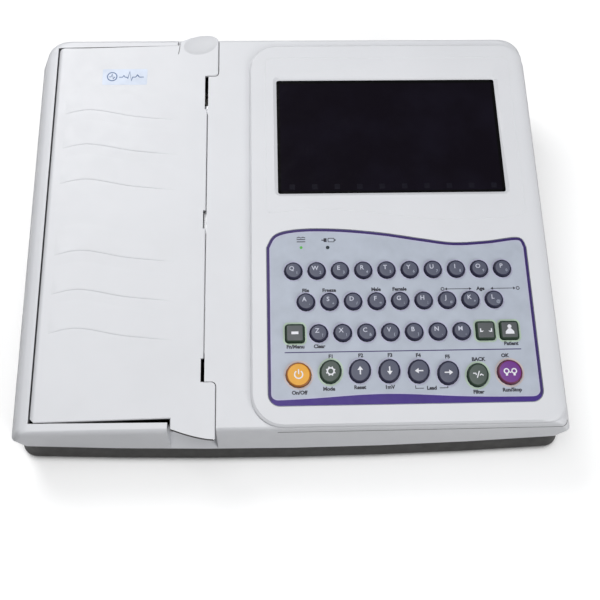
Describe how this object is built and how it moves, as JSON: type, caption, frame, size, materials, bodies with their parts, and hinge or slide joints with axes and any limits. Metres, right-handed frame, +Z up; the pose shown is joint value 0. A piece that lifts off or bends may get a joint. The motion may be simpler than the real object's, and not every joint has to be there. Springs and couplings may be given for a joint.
{
  "type": "ecg machine",
  "caption": "Desktop ECG recorder: wedge-shaped white case with a hinged paper cover over a thermal printer, a raised panel with a dark screen, and a keyboard with sprung keys.",
  "frame": {"origin": "middle of the footprint, on the table under the feet", "axes": "+X to the user's right along the case, +Y to the back, +Z up"},
  "size_m": [0.424, 0.3474, 0.0977],
  "materials": {
    "case_white": "fine-textured cool white ABS",
    "cover_white": "smooth cool white ABS",
    "case_dark": "fine-textured dark grey ABS",
    "chassis_black": "moulded black plastic",
    "steel": "ground steel",
    "connector_shell": "tinned steel",
    "platen_rubber": "ground black rubber",
    "nylon": "natural nylon",
    "head_aluminium": "anodised",
    "thermal_paper": "smooth coated paper",
    "screen_glass": "dark display glass, opaque when off",
    "screen_frame": "black display frame",
    "overlay_print": "grey-blue polyester overlay with a violet border",
    "circuit_board": "green solder mask",
    "battery_wrap": "blue shrink wrap",
    "key_slate": "slate grey key caps",
    "key_orange": "orange key cap",
    "key_violet": "violet key cap"
  },
  "bodies": {
    "root": {"top_case": "case_white", "bottom_case": "case_dark", "printer_chassis": "chassis_black", "cover_hinge_pin": "steel", "stepper_motor": "steel", "screen_window": "screen_glass", "screen_module": "screen_frame", "keypad_overlay": "overlay_print", "keypad_board": "circuit_board", "main_board": "circuit_board", "battery_pack": "battery_wrap", "mains_inlet": "chassis_black", "patient_connector": "connector_shell"},
    "cover": {"paper_cover": "cover_white"},
    "platen": {"platen_roller": "platen_rubber", "platen_shaft": "steel", "platen_gear": "nylon"},
    "drive_gear": {"drive_gear": "nylon"},
    "pinion": {"motor_pinion": "steel"},
    "paper": {"paper_roll": "thermal_paper", "paper_spindle": "nylon"},
    "print_head": {"print_head": "head_aluminium"},
    "rocker": {"power_rocker": "chassis_black"},
    "key_q": {"key_q": "key_slate"},
    "key_w": {"key_w": "key_slate"},
    "key_e": {"key_e": "key_slate"},
    "key_r": {"key_r": "key_slate"},
    "key_t": {"key_t": "key_slate"},
    "key_y": {"key_y": "key_slate"},
    "key_u": {"key_u": "key_slate"},
    "key_i": {"key_i": "key_slate"},
    "key_o": {"key_o": "key_slate"},
    "key_p": {"key_p": "key_slate"},
    "key_a": {"key_a": "key_slate"},
    "key_s": {"key_s": "key_slate"},
    "key_d": {"key_d": "key_slate"},
    "key_f": {"key_f": "key_slate"},
    "key_g": {"key_g": "key_slate"},
    "key_h": {"key_h": "key_slate"},
    "key_j": {"key_j": "key_slate"},
    "key_k": {"key_k": "key_slate"},
    "key_l": {"key_l": "key_slate"},
    "key_fn": {"key_fn": "key_slate"},
    "key_z": {"key_z": "key_slate"},
    "key_x": {"key_x": "key_slate"},
    "key_c": {"key_c": "key_slate"},
    "key_v": {"key_v": "key_slate"},
    "key_b": {"key_b": "key_slate"},
    "key_n": {"key_n": "key_slate"},
    "key_m": {"key_m": "key_slate"},
    "key_space": {"key_space": "key_slate"},
    "key_patient": {"key_patient": "key_slate"},
    "key_power": {"key_power": "key_orange"},
    "key_mode": {"key_mode": "key_slate"},
    "key_up": {"key_up": "key_slate"},
    "key_down": {"key_down": "key_slate"},
    "key_left": {"key_left": "key_slate"},
    "key_right": {"key_right": "key_slate"},
    "key_filter": {"key_filter": "key_slate"},
    "key_run": {"key_run": "key_violet"}
  },
  "joints": [
    {"name": "cover_hinge", "type": "hinge", "parent": "root", "child": "cover", "pos_m": [-0.1908, 0.00026, 0.07342], "axis": [0, -0.9942, -0.1072], "range_deg": [0, 90]},
    {"name": "platen_spin", "type": "hinge", "parent": "cover", "child": "platen", "pos_m": [-0.0765, 0.00105, 0.06606], "axis": [0, 0.9942, 0.1072], "continuous": true},
    {"name": "drive_gear_spin", "type": "hinge", "parent": "root", "child": "drive_gear", "pos_m": [-0.0765, 0.00303, 0.04777], "axis": [0, 0.9942, 0.1072], "continuous": true},
    {"name": "pinion_spin", "type": "hinge", "parent": "root", "child": "pinion", "pos_m": [-0.06007, 0.0034, 0.0443], "axis": [0, 0.9942, 0.1072], "continuous": true},
    {"name": "paper_roll_spin", "type": "hinge", "parent": "root", "child": "paper", "pos_m": [-0.132, 0.00298, 0.04817], "axis": [0, 0.9942, 0.1072], "continuous": true},
    {"name": "print_head_rock", "type": "hinge", "parent": "root", "child": "print_head", "pos_m": [-0.0635, 0.00191, 0.05811], "axis": [0, 0.9942, 0.1072], "range_deg": [0, 1.5], "stiffness_Nm_per_rad": 4, "springref_deg": -1.15},
    {"name": "power_rocker_tilt", "type": "hinge", "parent": "root", "child": "rocker", "pos_m": [0.151, 0.17128, 0.05], "axis": [1, 0, 0], "range_deg": [0, 14]},
    {"name": "key_q_press", "type": "slide", "parent": "root", "child": "key_q", "axis": [0, 0.1072, -0.9942], "range_m": [0, 0.001], "stiffness_N_per_m": 400, "springref_m": -0.0005},
    {"name": "key_w_press", "type": "slide", "parent": "root", "child": "key_w", "axis": [0, 0.1072, -0.9942], "range_m": [0, 0.001], "stiffness_N_per_m": 400, "springref_m": -0.0005},
    {"name": "key_e_press", "type": "slide", "parent": "root", "child": "key_e", "axis": [0, 0.1072, -0.9942], "range_m": [0, 0.001], "stiffness_N_per_m": 400, "springref_m": -0.0005},
    {"name": "key_r_press", "type": "slide", "parent": "root", "child": "key_r", "axis": [0, 0.1072, -0.9942], "range_m": [0, 0.001], "stiffness_N_per_m": 400, "springref_m": -0.0005},
    {"name": "key_t_press", "type": "slide", "parent": "root", "child": "key_t", "axis": [0, 0.1072, -0.9942], "range_m": [0, 0.001], "stiffness_N_per_m": 400, "springref_m": -0.0005},
    {"name": "key_y_press", "type": "slide", "parent": "root", "child": "key_y", "axis": [0, 0.1072, -0.9942], "range_m": [0, 0.001], "stiffness_N_per_m": 400, "springref_m": -0.0005},
    {"name": "key_u_press", "type": "slide", "parent": "root", "child": "key_u", "axis": [0, 0.1072, -0.9942], "range_m": [0, 0.001], "stiffness_N_per_m": 400, "springref_m": -0.0005},
    {"name": "key_i_press", "type": "slide", "parent": "root", "child": "key_i", "axis": [0, 0.1072, -0.9942], "range_m": [0, 0.001], "stiffness_N_per_m": 400, "springref_m": -0.0005},
    {"name": "key_o_press", "type": "slide", "parent": "root", "child": "key_o", "axis": [0, 0.1072, -0.9942], "range_m": [0, 0.001], "stiffness_N_per_m": 400, "springref_m": -0.0005},
    {"name": "key_p_press", "type": "slide", "parent": "root", "child": "key_p", "axis": [0, 0.1072, -0.9942], "range_m": [0, 0.001], "stiffness_N_per_m": 400, "springref_m": -0.0005},
    {"name": "key_a_press", "type": "slide", "parent": "root", "child": "key_a", "axis": [0, 0.1072, -0.9942], "range_m": [0, 0.001], "stiffness_N_per_m": 400, "springref_m": -0.0005},
    {"name": "key_s_press", "type": "slide", "parent": "root", "child": "key_s", "axis": [0, 0.1072, -0.9942], "range_m": [0, 0.001], "stiffness_N_per_m": 400, "springref_m": -0.0005},
    {"name": "key_d_press", "type": "slide", "parent": "root", "child": "key_d", "axis": [0, 0.1072, -0.9942], "range_m": [0, 0.001], "stiffness_N_per_m": 400, "springref_m": -0.0005},
    {"name": "key_f_press", "type": "slide", "parent": "root", "child": "key_f", "axis": [0, 0.1072, -0.9942], "range_m": [0, 0.001], "stiffness_N_per_m": 400, "springref_m": -0.0005},
    {"name": "key_g_press", "type": "slide", "parent": "root", "child": "key_g", "axis": [0, 0.1072, -0.9942], "range_m": [0, 0.001], "stiffness_N_per_m": 400, "springref_m": -0.0005},
    {"name": "key_h_press", "type": "slide", "parent": "root", "child": "key_h", "axis": [0, 0.1072, -0.9942], "range_m": [0, 0.001], "stiffness_N_per_m": 400, "springref_m": -0.0005},
    {"name": "key_j_press", "type": "slide", "parent": "root", "child": "key_j", "axis": [0, 0.1072, -0.9942], "range_m": [0, 0.001], "stiffness_N_per_m": 400, "springref_m": -0.0005},
    {"name": "key_k_press", "type": "slide", "parent": "root", "child": "key_k", "axis": [0, 0.1072, -0.9942], "range_m": [0, 0.001], "stiffness_N_per_m": 400, "springref_m": -0.0005},
    {"name": "key_l_press", "type": "slide", "parent": "root", "child": "key_l", "axis": [0, 0.1072, -0.9942], "range_m": [0, 0.001], "stiffness_N_per_m": 400, "springref_m": -0.0005},
    {"name": "key_fn_press", "type": "slide", "parent": "root", "child": "key_fn", "axis": [0, 0.1072, -0.9942], "range_m": [0, 0.001], "stiffness_N_per_m": 400, "springref_m": -0.0005},
    {"name": "key_z_press", "type": "slide", "parent": "root", "child": "key_z", "axis": [0, 0.1072, -0.9942], "range_m": [0, 0.001], "stiffness_N_per_m": 400, "springref_m": -0.0005},
    {"name": "key_x_press", "type": "slide", "parent": "root", "child": "key_x", "axis": [0, 0.1072, -0.9942], "range_m": [0, 0.001], "stiffness_N_per_m": 400, "springref_m": -0.0005},
    {"name": "key_c_press", "type": "slide", "parent": "root", "child": "key_c", "axis": [0, 0.1072, -0.9942], "range_m": [0, 0.001], "stiffness_N_per_m": 400, "springref_m": -0.0005},
    {"name": "key_v_press", "type": "slide", "parent": "root", "child": "key_v", "axis": [0, 0.1072, -0.9942], "range_m": [0, 0.001], "stiffness_N_per_m": 400, "springref_m": -0.0005},
    {"name": "key_b_press", "type": "slide", "parent": "root", "child": "key_b", "axis": [0, 0.1072, -0.9942], "range_m": [0, 0.001], "stiffness_N_per_m": 400, "springref_m": -0.0005},
    {"name": "key_n_press", "type": "slide", "parent": "root", "child": "key_n", "axis": [0, 0.1072, -0.9942], "range_m": [0, 0.001], "stiffness_N_per_m": 400, "springref_m": -0.0005},
    {"name": "key_m_press", "type": "slide", "parent": "root", "child": "key_m", "axis": [0, 0.1072, -0.9942], "range_m": [0, 0.001], "stiffness_N_per_m": 400, "springref_m": -0.0005},
    {"name": "key_space_press", "type": "slide", "parent": "root", "child": "key_space", "axis": [0, 0.1072, -0.9942], "range_m": [0, 0.001], "stiffness_N_per_m": 400, "springref_m": -0.0005},
    {"name": "key_patient_press", "type": "slide", "parent": "root", "child": "key_patient", "axis": [0, 0.1072, -0.9942], "range_m": [0, 0.001], "stiffness_N_per_m": 400, "springref_m": -0.0005},
    {"name": "key_power_press", "type": "slide", "parent": "root", "child": "key_power", "axis": [0, 0.1072, -0.9942], "range_m": [0, 0.001], "stiffness_N_per_m": 400, "springref_m": -0.0005},
    {"name": "key_mode_press", "type": "slide", "parent": "root", "child": "key_mode", "axis": [0, 0.1072, -0.9942], "range_m": [0, 0.001], "stiffness_N_per_m": 400, "springref_m": -0.0005},
    {"name": "key_up_press", "type": "slide", "parent": "root", "child": "key_up", "axis": [0, 0.1072, -0.9942], "range_m": [0, 0.001], "stiffness_N_per_m": 400, "springref_m": -0.0005},
    {"name": "key_down_press", "type": "slide", "parent": "root", "child": "key_down", "axis": [0, 0.1072, -0.9942], "range_m": [0, 0.001], "stiffness_N_per_m": 400, "springref_m": -0.0005},
    {"name": "key_left_press", "type": "slide", "parent": "root", "child": "key_left", "axis": [0, 0.1072, -0.9942], "range_m": [0, 0.001], "stiffness_N_per_m": 400, "springref_m": -0.0005},
    {"name": "key_right_press", "type": "slide", "parent": "root", "child": "key_right", "axis": [0, 0.1072, -0.9942], "range_m": [0, 0.001], "stiffness_N_per_m": 400, "springref_m": -0.0005},
    {"name": "key_filter_press", "type": "slide", "parent": "root", "child": "key_filter", "axis": [0, 0.1072, -0.9942], "range_m": [0, 0.001], "stiffness_N_per_m": 400, "springref_m": -0.0005},
    {"name": "key_run_press", "type": "slide", "parent": "root", "child": "key_run", "axis": [0, 0.1072, -0.9942], "range_m": [0, 0.001], "stiffness_N_per_m": 400, "springref_m": -0.0005}
  ],
  "couplings": [
    {"joint": "drive_gear_spin", "follows": "platen_spin", "ratio": -0.53333},
    {"joint": "pinion_spin", "follows": "platen_spin", "ratio": 1.3333}
  ]
}
